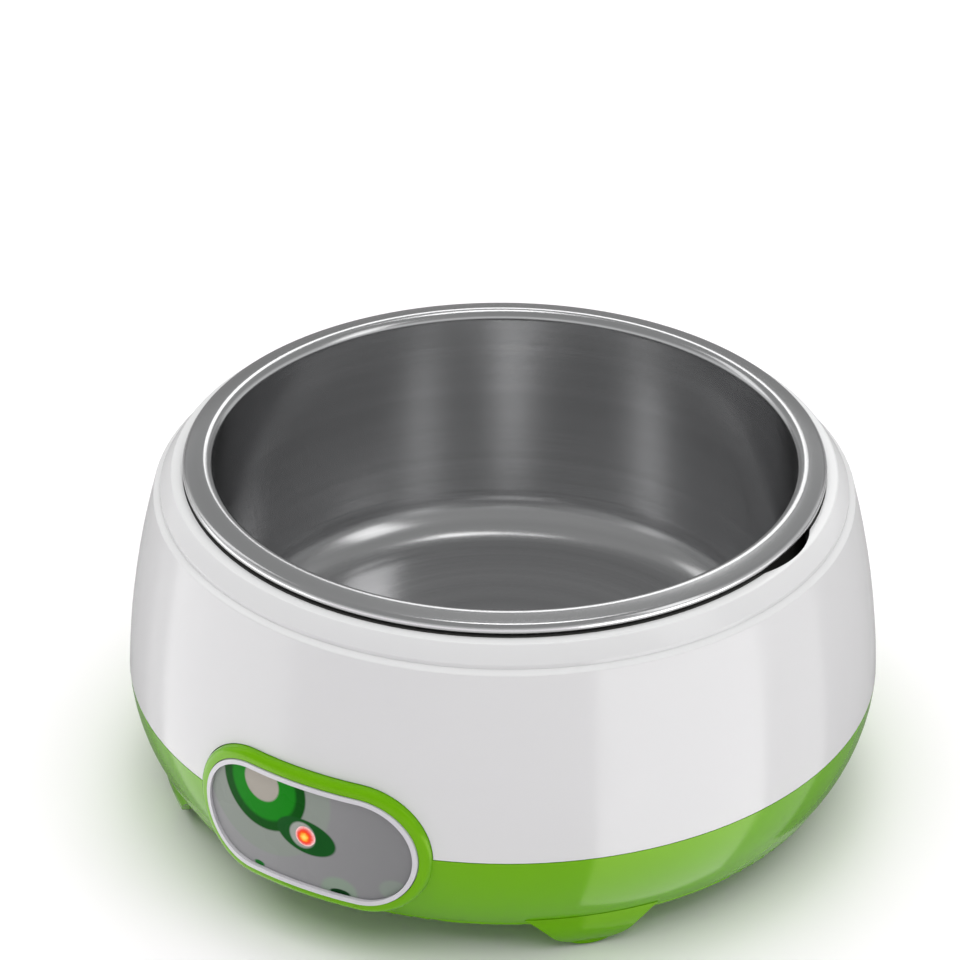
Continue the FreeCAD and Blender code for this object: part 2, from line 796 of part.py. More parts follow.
def make_lower_base():
    """Bowl, feet, collar, bosses and the walls round the inlet, as one moulding."""
    bowl = make_bowl()
    solids = [bowl, make_feet(), make_collar()]
    cuts = []
    for angle in POSTS:
        x, y = around(POST_CIRCLE, angle)
        solids.append(cylinder("base_boss_%d" % angle, "boss_radius",
                               "floor_height + 0.5*base_wall", "boss_height - 0.5*base_wall", x, y))
        cuts.append(cylinder("base_sink_%d" % angle, "base_head + head_gap",
                             "floor_height - past", "head_sink + past", x, y))
        cuts.append(cylinder("base_hole_%d" % angle, "base_screw + hole_gap",
                             "floor_height - past", "boss_height + 2*past", x, y))
    for angle in FEET:
        x, y = around("foot_circle", angle)
        cuts.append(cylinder("pad_seat_%d" % angle, "pad_radius + 0.5*fit_gap", "-1*past",
                             "pad_depth + past", x, y))
    inlet_back = block("inlet_block", "inlet_width + 2*inlet_surround", "inlet_sunk + base_wall",
                       "inlet_tall + 2*inlet_surround", "-0.5*inlet_width - inlet_surround",
                       INLET_WALL, INLET_HEIGHT + " - 0.5*inlet_tall - inlet_surround")
    envelope = turned("bowl_envelope", [
        corner("0", "floor_height + 0.5*base_wall"),
        corner(BODY_RADIUS + " - bowl_inset - inside_skin", "floor_height + 0.5*base_wall",
               "bowl_bow"),
        corner(BODY_RADIUS + " - inside_skin", "seam_height - fit_gap"),
        corner("0", "seam_height - fit_gap"),
    ])
    solids.append(common("inlet_wall", inlet_back, envelope))
    recess = block("inlet_recess", "inlet_width + 2*inlet_margin", "inlet_sunk + past",
                   "inlet_tall + 2*inlet_margin", "-0.5*inlet_width - inlet_margin",
                   INLET_PLANE, INLET_HEIGHT + " - 0.5*inlet_tall - inlet_margin")
    recess = round_edges("inlet_recess_round", recess, "inlet_round + inlet_margin", lies_along_y)
    hole = block("inlet_hole", "inlet_body_width + 2*fit_gap", "base_wall + 2*past",
                 "inlet_body_tall + 2*fit_gap", "-0.5*inlet_body_width - fit_gap",
                 INLET_WALL + " - past", INLET_HEIGHT + " - 0.5*inlet_body_tall - fit_gap")
    cuts += [recess, hole]
    for name, side in SIDES:
        cuts.append(rod("inlet_pilot_" + name, "inlet_screw + pilot_gap", "base_wall + 2*past",
                        scaled(0.5 * side, "inlet_screw_pitch"), INLET_PLANE + " + past",
                        INLET_HEIGHT, FRONT))
    cuts.append(extruded("collar_opening", "XZ_Plane", stadium("bezel_width + ledge_inset"),
                         COLLAR_BACK + " - past", "collar_depth + 2*past"))
    pocket = extruded("panel_pocket", "XZ_Plane", stadium("-1*fit_gap"),
                      COLLAR_BACK + " - past", "collar_depth + 2*past")
    core = cylinder("pocket_core", PANEL_BACK, "0", "2*seam_height + panel_tall")
    cuts.append(cut("panel_seat", pocket, core))
    for name, side in SIDES:
        cuts.append(rod("board_pilot_" + name, "board_screw + pilot_gap",
                        "past + board_screw_length + pilot_room",
                        scaled(side, "board_screw_across"), BOARD_FACE + " + past",
                        PANEL_HEIGHT, FRONT))
    solid = fused("base_solid", solids)
    return node(cut("base", solid, fused("base_cuts", cuts)), "lower_base")


def lies_along_y(edge):
    """Straight edges that run front to back."""
    return abs(edge.Vertexes[0].Y - edge.Vertexes[-1].Y) > 1


# ---------------------------------------------------------------- feet pads, screws, label
def make_pads():
    """Soft discs pressed into the feet; they are what meets the table."""
    pads = []
    for angle in FEET:
        x, y = around("foot_circle", angle)
        pads.append(cylinder("pad_%d" % angle, "pad_radius", "0", "pad_depth", x, y))
    return node(group("pads", pads), "foot_pads")


def make_base_screws():
    """Screws up through the base into the liner's posts."""
    places = [around(POST_CIRCLE, angle) + ("floor_height + head_sink", UP) for angle in POSTS]
    return screw_set("base_screws", "base", "base_screw_length", places)


def make_label():
    """Blank rating plate under the floor."""
    plate = block("label_plate", "label_length", "label_width", "label_thick",
                  "-0.5*label_length", "-0.5*label_width", "floor_height - label_thick")
    return node(round_edges("label", plate, "label_round", is_upright), "rating_plate")


def is_upright(edge):
    """Straight edges that run up and down."""
    return abs(edge.Vertexes[0].Z - edge.Vertexes[-1].Z) > 0.1


# ---------------------------------------------------------------- panel, bezel and lamp
def curved_layer(name, outline, back, front):
    """The part of an upright tube from back to front that lies inside the outline."""
    prism = extruded(name + "_prism", "XZ_Plane", outline, COLLAR_BACK + " - past",
                     "collar_depth + 2*past")
    tall = "2*seam_height + panel_tall"
    tube = cut(name + "_tube", cylinder(name + "_front", front, "0", tall),
               cylinder(name + "_back", back, "-1*past", tall + " + 2*past"))
    return common(name + "_layer", prism, tube)


def make_bezel():
    """Thin bright ring round the panel."""
    whole = curved_layer("bezel", stadium("0"), PANEL_BACK, BEZEL_FACE)
    opening = extruded("bezel_opening", "XZ_Plane", stadium("bezel_width"),
                       COLLAR_BACK + " - past", "collar_depth + 2*past")
    return node(cut("bezel_ring", whole, opening), "panel_bezel")


def make_panel():
    """Curved face plate with a hole for the lamp."""
    plate = curved_layer("panel", stadium("bezel_width + 0.5*fit_gap"), PANEL_BACK, PANEL_FACE)
    hole = rod("lamp_hole", "lens_radius + 0.5*fit_gap", "collar_depth + past", "lamp_across",
               BOARD_FACE, LAMP_HEIGHT, FRONT)
    return node(cut("panel", plate, hole), "control_panel")


def make_lens():
    """Red lamp cover: a domed pin through the panel with a flange behind it."""
    y_back = scaled(-1.0, LENS_BACK)
    pin = rod("lens_pin", "lens_radius", less(PANEL_FACE, LENS_BACK), "lamp_across", y_back,
              LAMP_HEIGHT, FRONT)
    flange = rod("lens_rim", "lens_flange", "lens_flange_thick", "lamp_across", y_back,
                 LAMP_HEIGHT, FRONT)
    dome = doc.addObject("Part::Ellipsoid", "lens_cap")
    dome.setExpression("Radius1", formula("lens_dome"))
    dome.setExpression("Radius2", formula("lens_radius"))
    dome.setExpression("Radius3", formula("lens_radius"))
    dome.Placement = FreeCAD.Placement(V(), FreeCAD.Rotation(UP, FRONT))
    dome.setExpression("Placement.Base.x", formula("lamp_across"))
    dome.setExpression("Placement.Base.y", formula(scaled(-1.0, PANEL_FACE)))
    dome.setExpression("Placement.Base.z", formula(LAMP_HEIGHT))
    return node(fused("lens", [pin, flange, dome]), "indicator_lens")


def make_led():
    """Light-emitting diode that stands on the board behind the lens."""
    body = rod("led_body", "led_radius", "led_length", "lamp_across", BOARD_FACE, LAMP_HEIGHT,
               FRONT)
    collar = rod("led_rim", "led_radius + led_flange", "led_flange_thick", "lamp_across",
                 BOARD_FACE, LAMP_HEIGHT, FRONT)
    tip = doc.addObject("Part::Sphere", "led_tip")
    tip.setExpression("Radius", formula("led_radius"))
    tip.setExpression("Placement.Base.x", formula("lamp_across"))
    tip.setExpression("Placement.Base.y", formula(BOARD_FACE + " - led_length"))
    tip.setExpression("Placement.Base.z", formula(LAMP_HEIGHT))
    return node(fused("led", [body, collar, tip]), "indicator_led")


def make_board():
    """Lamp board, screwed across the back of the collar."""
    board = block("board_plate", "board_width", "board_thick", "board_tall",
                  "-0.5*board_width", BOARD_FACE, PANEL_HEIGHT + " - 0.5*board_tall")
    rounded = round_edges("board_rounded", board, "board_round", lies_along_y)
    holes = [rod("board_hole_" + name, "board_screw + hole_gap", "board_thick + 2*past",
                 scaled(side, "board_screw_across"), BOARD_BACK + " + past", PANEL_HEIGHT, FRONT)
             for name, side in SIDES]
    return node(cut("board", rounded, fused("board_holes", holes)), "led_board")


def make_board_parts():
    """Resistor and diode that feed the lamp, and the two board screws."""
    for kind, label, start, up in (
            ("resistor", "led_resistor", "-1*resistor_across", " + parts_offset"),
            ("diode", "rectifier_diode", "diode_across", " - parts_offset")):
        length = kind + "_length"
        y = BOARD_BACK + " + " + kind + "_radius"
        z = PANEL_HEIGHT + up
        body = rod(kind + "_body", kind + "_radius", length, start, y, z, RIGHT)
        wire = rod(kind + "_lead", "lead_radius", length + " + 2*lead_reach",
                   start + " - lead_reach", y, z, RIGHT)
        legs = [rod(kind + "_leg_" + end, "lead_radius", kind + "_radius", x, y, z, FRONT)
                for end, x in (("left", start + " - lead_reach"),
                               ("right", start + " + lead_reach + " + length))]
        node(fused(kind, [body, wire] + legs), label)
    places = [(scaled(side, "board_screw_across"), BOARD_BACK, PANEL_HEIGHT, FRONT)
              for name, side in SIDES]
    screw_set("board_screws", "board", "board_screw_length + board_thick", places)


# ---------------------------------------------------------------- heater
def make_heater_plate():
    """Pressed aluminium plate whose raised centre comes up through the liner's window."""
    plate = turned("plate_press", [
        corner("0", DISH_UNDER),
        corner(DISH_RADIUS + " - plate_thick", DISH_UNDER),
        corner(DISH_RADIUS + " - plate_thick", PLATE_UNDER),
        corner(PLATE_RADIUS, PLATE_UNDER),
        corner(PLATE_RADIUS, PLATE_TOP),
        corner(DISH_RADIUS, PLATE_TOP),
        corner(DISH_RADIUS, DISH_TOP + " - plate_corner"),
        corner(DISH_RADIUS + " - plate_corner", DISH_TOP),
        corner("0", DISH_TOP),
    ])
    holes = []
    for angle in FEET:
        x, y = around(HEATER_CIRCLE, angle)
        holes.append(cylinder("plate_hole_%d" % angle, "heater_screw + hole_gap",
                              PLATE_UNDER + " - past", "plate_thick + 2*past", x, y))
    for name, x, y in (("left", scaled(-1.0, CLAMP_HOLE), "0"), ("right", CLAMP_HOLE, "0"),
                       ("fuse", "0", FUSE_HOLE)):
        holes.append(cylinder("clamp_pilot_" + name, "heater_screw + pilot_gap",
                              DISH_UNDER + " - past", "past + plate_thick - pilot_cap", x, y))
    return node(cut("heater", plate, fused("plate_holes", holes)), "heater_plate")


def make_heater_seal():
    """Silicone ring between the plate and the liner's floor."""
    ring = turned("seal_ring", [
        corner(PLATE_RADIUS + " - seal_inset - seal_width", PLATE_TOP),
        corner(PLATE_RADIUS + " - seal_inset", PLATE_TOP),
        corner(PLATE_RADIUS + " - seal_inset", LINER_FLOOR_UNDER),
        corner(PLATE_RADIUS + " - seal_inset - seal_width", LINER_FLOOR_UNDER),
    ])
    holes = []
    for angle in FEET:
        x, y = around(HEATER_CIRCLE, angle)
        holes.append(cylinder("seal_hole_%d" % angle, "heater_screw + hole_gap",
                              PLATE_TOP + " - past", "seal_thick + 2*past", x, y))
    return node(cut("seal", ring, fused("seal_holes", holes)), "heater_seal")


def make_ptc():
    """Two ceramic heating elements under the plate."""
    blocks = []
    for name, side in SIDES:
        y = scaled(0.5 * side, "ptc_spacing") + " - 0.5*ptc_width"
        blocks.append(block("ptc_" + name, "ptc_length", "ptc_width", "ptc_thick",
                            "-0.5*ptc_length", y, PTC_UNDER))
    node(group("ptc", blocks), "ptc_elements")
    tabs = []
    for name, side in SIDES:
        x = "-0.5*ptc_length - tab_reach" if side < 0 else "0.5*ptc_length"
        y = scaled(-0.5 * side, "ptc_spacing") + " - 0.5*tab_width"
        tabs.append(block("ptc_tab_" + name, "tab_reach", "tab_width", "tab_thick", x, y,
                          TAB_HEIGHT + " - 0.5*tab_thick"))
    return node(group("ptc_tabs", tabs), "element_tabs")


def make_mica():
    """Insulating sheet between the elements and the clamp."""
    flake = block("mica", "ptc_length", "ptc_spacing + ptc_width + 2*mica_margin", "mica_thick",
                  "-0.5*ptc_length", "-0.5*ptc_spacing - 0.5*ptc_width - mica_margin", MICA_UNDER)
    return node(flake, "mica_sheet")


def make_clamp():
    """Bent spring-steel bridge that presses the elements to the plate."""
    half = CLAMP_HALF
    inside = "0.5*ptc_length + clamp_room"
    profile = [
        corner(scaled(-1.0, half), CLAMP_SEAT),
        corner(scaled(-1.0, inside) + " - clamp_thick", CLAMP_SEAT),
        corner(scaled(-1.0, inside) + " - clamp_thick", CLAMP_UNDER),
        corner(inside + " + clamp_thick", CLAMP_UNDER),
        corner(inside + " + clamp_thick", CLAMP_SEAT),
        corner(half, CLAMP_SEAT),
        corner(half, DISH_UNDER),
        corner(inside, DISH_UNDER),
        corner(inside, MICA_UNDER),
        corner(scaled(-1.0, inside), MICA_UNDER),
        corner(scaled(-1.0, inside), DISH_UNDER),
        corner(scaled(-1.0, half), DISH_UNDER),
    ]
    strip = extruded("clamp_strip", "XZ_Plane", profile, "-0.5*clamp_width", "clamp_width")
    holes = [cylinder("clamp_hole_" + name, "heater_screw + hole_gap", CLAMP_SEAT + " - past",
                      "clamp_thick + 2*past", scaled(side, CLAMP_HOLE), "0")
             for name, side in SIDES]
    return node(cut("clamp", strip, fused("clamp_holes", holes)), "element_clamp")


def make_fuse():
    """Thermal fuse with its leads, and the clip that holds it to the plate."""
    body = rod("fuse_body", "fuse_radius", "fuse_length", "-0.5*fuse_length", FUSE_Y, FUSE_Z,
               RIGHT)
    lead = rod("fuse_wires", "fuse_lead", "fuse_length + 2*fuse_lead_reach",
               "-0.5*fuse_length - fuse_lead_reach", FUSE_Y, FUSE_Z, RIGHT)
    node(fused("fuse", [body, lead]), "thermal_fuse")
    inner = FUSE_Y + " - fuse_radius"
    outer = FUSE_Y + " + fuse_radius + 0.5*fit_gap"
    bottom = DISH_UNDER + " - 2*fuse_radius - fit_gap"
    clip = extruded("clip_strip", "YZ_Plane", [
        corner(inner, bottom + " - clip_thick"),
        corner(outer + " + clip_thick", bottom + " - clip_thick"),
        corner(outer + " + clip_thick", DISH_UNDER + " - clip_thick"),
        corner(FUSE_HOLE + " + clip_end", DISH_UNDER + " - clip_thick"),
        corner(FUSE_HOLE + " + clip_end", DISH_UNDER),
        corner(outer, DISH_UNDER),
        corner(outer, bottom),
        corner(inner, bottom),
    ], "-0.5*clip_width", "clip_width")
    hole = cylinder("clip_hole", "heater_screw + hole_gap", DISH_UNDER + " - past", "2*past", "0",
                    FUSE_HOLE)
    node(cut("clip", clip, hole), "fuse_clip")


def make_heater_screws():
    """Screws for the plate, the clamp and the fuse clip."""
    seats = [around(HEATER_CIRCLE, angle) + (PLATE_UNDER, UP) for angle in FEET]
    screw_set("heater_screws", "heater",
              "plate_thick + seal_thick + liner_wall + heater_screw_bite", seats)
    clamps = [(scaled(side, CLAMP_HOLE), "0", CLAMP_SEAT, UP) for name, side in SIDES]
    screw_set("clamp_screws", "heater", "clamp_thick + plate_thick - pilot_cap - fit_gap", clamps)
    clip = [("0", FUSE_HOLE, DISH_UNDER + " - clip_thick", UP)]
    screw_set("fuse_screw", "heater", "clip_thick + plate_thick - pilot_cap - fit_gap", clip)


# ---------------------------------------------------------------- power inlet
def make_inlet():
    """Two-pin appliance inlet: moulded body, its pins and its two screws."""
    flange = block("inlet_flange_plate", "inlet_width", "inlet_flange", "inlet_tall",
                   "-0.5*inlet_width", INLET_PLANE, INLET_HEIGHT + " - 0.5*inlet_tall")
    flange = round_edges("inlet_flange_round", flange, "inlet_round", lies_along_y)
    body = block("inlet_body", "inlet_body_width", "inlet_depth", "inlet_body_tall",
                 "-0.5*inlet_body_width", INLET_PLANE + " - inlet_depth",
                 INLET_HEIGHT + " - 0.5*inlet_body_tall")
    socket = block("socket_box", "socket_width", "socket_depth + past", "socket_tall",
                   "-0.5*socket_width", INLET_FACE + " - socket_depth",
                   INLET_HEIGHT + " - 0.5*socket_tall")
    socket = round_edges("socket_round", socket, "0.45*socket_tall", lies_along_y)
    holes = [socket]
    for name, side in SIDES:
        screw_x = scaled(0.5 * side, "inlet_screw_pitch")
        holes.append(rod("pin_hole_" + name, "pin_radius + pilot_gap", "inlet_depth + past",
                         scaled(0.5 * side, "pin_pitch"), INLET_FACE, INLET_HEIGHT, FRONT))
        holes.append(rod("inlet_screw_hole_" + name, "inlet_screw + hole_gap",
                         "inlet_flange + past", screw_x, INLET_FACE, INLET_HEIGHT, FRONT))
        holes.append(rod("inlet_screw_sink_" + name, "inlet_head + hole_gap", "past + inlet_sink",
                         screw_x, INLET_FACE + " + past", INLET_HEIGHT, FRONT))
    housing = fused("inlet_solid", [flange, body])
    node(cut("inlet", housing, fused("inlet_holes", holes)), "inlet_housing")
    pins = []
    crimps = []
    for name, side in SIDES:
        x = scaled(0.5 * side, "pin_pitch")
        pin = rod("pin_" + name, "pin_radius", "inlet_depth + inlet_flange + fit_gap - pin_sunk",
                  x, INLET_BACK + " - fit_gap", INLET_HEIGHT, BACK)
        tab = block("tab_" + name, "pin_tab_width", "pin_tab", "pin_tab_thick",
                    x + " - 0.5*pin_tab_width", INLET_BACK + " - pin_tab",
                    INLET_HEIGHT + " - 0.5*pin_tab_thick")
        pins.append(fused("pin_tab_" + name, [pin, tab]))
        slot = block("crimp_slot_" + name, "pin_tab_width + fit_gap", "pin_tab + fit_gap + past",
                     "pin_tab_thick + fit_gap", x + " - 0.5*pin_tab_width - 0.5*fit_gap",
                     INLET_BACK + " - pin_tab - fit_gap",
                     INLET_HEIGHT + " - 0.5*pin_tab_thick - 0.5*fit_gap")
        sleeve = block("crimp_" + name, "pin_tab_width + fit_gap + 2*crimp_wall", "crimp_length",
                       "pin_tab_thick + fit_gap + 2*crimp_wall",
                       x + " - 0.5*pin_tab_width - 0.5*fit_gap - crimp_wall", CRIMP_END,
                       INLET_HEIGHT + " - 0.5*pin_tab_thick - 0.5*fit_gap - crimp_wall")
        crimps.append(cut("crimp_sleeve_" + name, sleeve, slot))
    node(group("pins", pins), "inlet_pins")
    node(group("crimps", crimps), "crimp_terminals")
    places = [(scaled(0.5 * side, "inlet_screw_pitch"), INLET_FACE + " - inlet_sink",
               INLET_HEIGHT, FRONT) for name, side in SIDES]
    screw_set("inlet_screws", "inlet", "inlet_screw_length", places)


# ---------------------------------------------------------------- lead wires
def wire_path(points):
    """Straight runs joined by tangent arcs, each as large as its shorter run allows."""
    edges = []
    start = points[0]
    for before, at, after in zip(points, points[1:], points[2:]):
        back = (before - at).normalize()
        ahead = (after - at).normalize()
        half_turn = (math.pi - back.getAngle(ahead)) / 2
        reach = 0.45 * min((before - at).Length, (after - at).Length)
        radius = reach / math.tan(half_turn)
        centre = at + (back + ahead).normalize() * (radius / math.cos(half_turn))
        middle = centre + (at - centre).normalize() * radius
        edges.append(Part.LineSegment(start, at + back * reach).toShape())
        edges.append(Part.Arc(at + back * reach, middle, at + ahead * reach).toShape())
        start = at + ahead * reach
    edges.append(Part.LineSegment(start, points[-1]).toShape())
    return Part.Wire(edges)


def make_wire(label, radius, route):
    """A round insulated wire along its route."""
    points = [V(value(x), value(y), value(z)) for x, y, z in route]
    path = wire_path(points)
    along = (points[1] - points[0]).normalize()
    ring = Part.Wire(Part.makeCircle(value(radius), points[0], along))
    tube = path.makePipeShell([ring], True, True)
    expected = math.pi * value(radius) ** 2 * path.Length
    if abs(tube.Volume / expected - 1) > 0.01:
        raise RuntimeError("wire %s has the wrong volume" % label)
    item = doc.addObject("Part::Feature", label + "_tube")
    item.Shape = tube
    node(item, label)


SPLICE_X = "0.5*fuse_length + splice_gap + splice_length"
LOW = FLOOR_TOP + " + 1.5*wire_radius"
UNDER_RIM = PLATE_UNDER + " - 2*wire_radius"
TAB_X = "0.5*ptc_length + 0.5*tab_reach"
TAB_EDGE = "0.5*ptc_spacing + 0.5*tab_width"
TAB_FAR = "0.5*ptc_spacing - 0.5*tab_width"


def make_wires():
    """Mains leads from the inlet to the fuse and elements, and the lamp's two leads."""
    pin_x = "0.5*pin_pitch"
    splices = []
    for name, side in SIDES:
        x = "0.5*fuse_length + splice_gap" if side > 0 else scaled(-1.0, SPLICE_X)
        splices.append(rod("splice_" + name, "splice_radius", "splice_length", x, FUSE_Y, FUSE_Z,
                           RIGHT))
    leads = rod("splice_core", "fuse_lead + pilot_gap",
                "fuse_length + 2*fuse_lead_reach + fit_gap",
                "-0.5*fuse_length - fuse_lead_reach - 0.5*fit_gap", FUSE_Y, FUSE_Z, RIGHT)
    node(cut("splices", fused("splice_pair", splices), leads), "wire_splices")
    make_wire("live_wire", "wire_radius", [
        (SPLICE_X, FUSE_Y, FUSE_Z),
        (SPLICE_X + " + 3.6", FUSE_Y, FUSE_Z),
        (SPLICE_X + " + 3", FUSE_Y + " + 8", UNDER_RIM + " + 0.6"),
        (pin_x + " + 7", CRIMP_END + " - 20", UNDER_RIM + " - 1.6"),
        (pin_x + " + 1", CRIMP_END + " - 7", UNDER_RIM + " - 1"),
        (pin_x, CRIMP_END + " - 3", INLET_HEIGHT),
        (pin_x, CRIMP_END, INLET_HEIGHT),
    ])
    make_wire("fuse_wire", "wire_radius", [
        (scaled(-1.0, SPLICE_X), FUSE_Y, FUSE_Z),
        (scaled(-1.0, SPLICE_X) + " - 4", FUSE_Y, FUSE_Z),
        (scaled(-1.0, TAB_X), FUSE_Y + " - 3.4", TAB_HEIGHT),
        (scaled(-1.0, TAB_X), TAB_EDGE, TAB_HEIGHT),
    ])
    make_wire("neutral_wire", "wire_radius", [
        (scaled(-1.0, pin_x), CRIMP_END, INLET_HEIGHT),
        (scaled(-1.0, pin_x), CRIMP_END + " - 3", INLET_HEIGHT),
        (scaled(-1.0, pin_x) + " - 1", CRIMP_END + " - 7", UNDER_RIM + " - 1"),
        (scaled(-1.0, pin_x), CRIMP_END + " - 20", LOW + " + 1"),
        ("6", FUSE_Y + " + 12", LOW),
        (TAB_X + " + 2", FUSE_Y + " + 6", LOW + " + 0.4"),
        (TAB_X + " + 5", FUSE_Y + " - 1", LOW + " + 4"),
        (TAB_X + " + 0.8", "0.5*clamp_width + 2.6", TAB_HEIGHT + " - 0.8"),
        (TAB_X, "4", TAB_HEIGHT),
        (TAB_X, scaled(-1.0, TAB_FAR), TAB_HEIGHT),
    ])
    for label, side, last in (("lamp_live_wire", -1.0, TAB_FAR),
                              ("lamp_neutral_wire", 1.0, scaled(-1.0, TAB_EDGE))):
        make_wire(label, "lamp_wire_radius", [
            (scaled(side, "6"), BOARD_BACK, PANEL_HEIGHT + " - 5.7"),
            (scaled(side, "6"), BOARD_BACK + " + 2.4", PANEL_HEIGHT + " - 5.7"),
            (scaled(side, "6.4"), BOARD_BACK + " + 6", PANEL_HEIGHT + " - 11"),
            (scaled(side, "7"), BOARD_BACK + " + 14", LOW + " + 2"),
            (scaled(side, "11"), scaled(-1.0, DISH_RADIUS) + " - 2", LOW),
            (scaled(side, TAB_X), scaled(-1.0, FUSE_Y) + " - 6", LOW + " + 1.5"),
            (scaled(side, TAB_X), scaled(-1.0, TAB_EDGE) + " - 6", TAB_HEIGHT),
            (scaled(side, TAB_X), last, TAB_HEIGHT),
        ])


make_inner_pot()
make_liner()
make_gasket()
make_shell()
make_lower_base()
make_pads()
make_base_screws()
make_label()
make_bezel()
make_panel()
make_lens()
make_led()
make_board()
make_board_parts()
make_heater_plate()
make_heater_seal()
make_ptc()
make_mica()
make_clamp()
make_fuse()
make_heater_screws()
make_inlet()
make_wires()
doc.recompute()


# ---------------------------------------------------------------- checks and export
def check_document():
    """Stops when any object failed or any sub-part has no sound solid."""
    failed = [item.Name for item in doc.Objects
              if "Invalid" in item.State or "Error" in item.State]
    if failed:
        raise RuntimeError("failed objects: " + ", ".join(failed))
    for item in NODES:
        shape = item.Shape
        if shape.isNull() or not shape.isValid() or not shape.Solids:
            raise RuntimeError("bad shape " + item.Label)
        print("%-18s %3d solids %10.1f mm3" % (item.Label, len(shape.Solids), shape.Volume))


check_document()
os.makedirs("parts", exist_ok=True)
for item in NODES:
    item.Shape.exportStep("parts/%s.step" % item.Label)
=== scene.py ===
"""Looks of the yogurt maker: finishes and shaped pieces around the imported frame, in metres."""

import json
import math

import bmesh
import bpy
from mathutils import Matrix, Vector


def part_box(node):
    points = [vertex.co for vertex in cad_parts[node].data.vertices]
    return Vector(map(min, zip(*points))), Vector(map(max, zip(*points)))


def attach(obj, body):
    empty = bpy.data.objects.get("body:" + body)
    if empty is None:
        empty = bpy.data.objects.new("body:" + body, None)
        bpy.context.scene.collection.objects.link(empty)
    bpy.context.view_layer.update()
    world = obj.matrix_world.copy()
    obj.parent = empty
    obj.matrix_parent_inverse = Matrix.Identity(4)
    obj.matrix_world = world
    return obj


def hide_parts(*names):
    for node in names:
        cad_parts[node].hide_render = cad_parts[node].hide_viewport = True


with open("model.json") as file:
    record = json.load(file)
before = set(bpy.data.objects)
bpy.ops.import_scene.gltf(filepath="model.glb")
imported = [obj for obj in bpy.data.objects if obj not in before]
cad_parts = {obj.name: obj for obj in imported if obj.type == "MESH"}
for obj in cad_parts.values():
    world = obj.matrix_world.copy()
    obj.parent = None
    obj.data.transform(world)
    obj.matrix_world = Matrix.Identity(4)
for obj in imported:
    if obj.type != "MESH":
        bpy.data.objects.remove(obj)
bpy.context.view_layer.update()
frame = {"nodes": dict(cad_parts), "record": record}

MM = 0.001
POT_WALL = 0.8 * MM
MERGE_GAP = 0.002 * MM
SHARP_TURN = math.radians(28)
SPIN_STEPS = 192
# across, up, half width, half height (mm), tilt (degrees), soft edge, colour, cover
PANEL_CIRCLES = (
    (-11.2, 41.1, 18.8, 18.8, 0, 0.02, (0.27, 0.315, 0.265), 0.7),
    (-11.2, 41.1, 12.2, 12.2, 0, 0.02, (0.001, 0.075, 0.003), 1),
    (-11.2, 41.1, 9.5, 9.5, 0, 0.05, (0.006, 0.225, 0.006), 1),
    (-11.6, 41.6, 5.1, 5.1, 0, 0.05, (0.42, 0.39, 0.34), 1),
    (0.9, 31.0, 8.0, 4.6, -7, 0.04, (0.006, 0.085, 0.012), 1),
    (0.0, 31.2, 3.5, 3.5, 0, 0.08, (0.40, 0.42, 0.39), 0.9),
    (9.6, 18.6, 4.6, 3.6, 0, 0.12, (0.25, 0.34, 0.25), 0.7),
    (9.9, 18.1, 2.6, 1.0, 0, 0.12, (0.002, 0.035, 0.006), 1),
    (-12.6, 18.4, 1.5, 0.7, 0, 0.2, (0.01, 0.16, 0.02), 1),
    (23.4, 22.0, 3.6, 2.8, 0, 0.12, (0.26, 0.34, 0.26), 0.45),
    (22.2, 42.6, 2.2, 0.5, -12, 0.2, (0.03, 0.17, 0.03), 0.9),
)
# the camera's place (degrees and metres), its own tilts (degrees), sensor and lens (mm)
VIEW_TURN, VIEW_RISE, VIEW_REACH = 30, 30.23, 1.2
VIEW_PITCH, VIEW_YAW, VIEW_ROLL = 30.525, -0.327, 0.411
SENSOR_WIDTH, LENS_LENGTH = 36, 187.2
# brightness at the horizon and overhead, and the heights between which it changes
SKY_LOW, SKY_HIGH = 0.70, 0.34
SKY_TURNS_AT, SKY_TURNED_AT = 0.22, 0.50
SUN_POWER, SUN_SPREAD = 2.15, 85
LIGHT_AIM = 45 * MM
# name, turn and rise (degrees), distance, width, height (metres), power
SOFTBOXES = (("top_box", 195, 78, 1.5, 0.5, 0.35, 1.6), ("left_box", -85, 34, 1.4, 0.45, 0.8, 1.0),
             ("right_box", 92, 34, 1.4, 0.45, 0.8, 1.3), ("back_box", 205, 38, 1.6, 0.5, 0.5, 1.5))
ROUND_STEPS = 10
FIT_GAP = 0.2 * MM
HAIR = 0.05 * MM
NEAR_WALL = math.cos(math.radians(25))
CARD_START, CARD_FULL, CARD_REACH = 88 * MM, 125 * MM, 2.0
CARD_HEIGHT, CARD_NEAR_SHARE = 1 * MM, 0.45
# first turn, last turn (degrees from the panel), brightness
GLOSS_BANDS = ((-75, -38, 0.42), (-38, -31, 0.8), (-31, -3, 2.0), (44, 72, 3.2), (72, 86, 1.3),
               (86, 130, 0.42))
FLAG_BACK, FLAG_RISE, FLAG_WIDTH, FLAG_HEIGHT = 1.4, 0.34, 2.6, 0.62
FLAG_GLOW = 0.28
FLOOR_HALF = 6
# depth of the relief of each kind of surface
PEEL_DEPTH, PRINT_DEPTH, GRAIN_DEPTH = 0.003 * MM, 0.01 * MM, 0.04 * MM
PLATED_DEPTH, TURNED_DEPTH = 0.015 * MM, 0.006 * MM


# ---------------------------------------------------------------- camera, lights and floor
def outward(turn, rise):
    """Direction from the axis at a turn from the panel and a rise, both in degrees."""
    turn, rise = math.radians(turn), math.radians(rise)
    return Vector((math.sin(turn) * math.cos(rise), -math.cos(turn) * math.cos(rise),
                   math.sin(rise)))


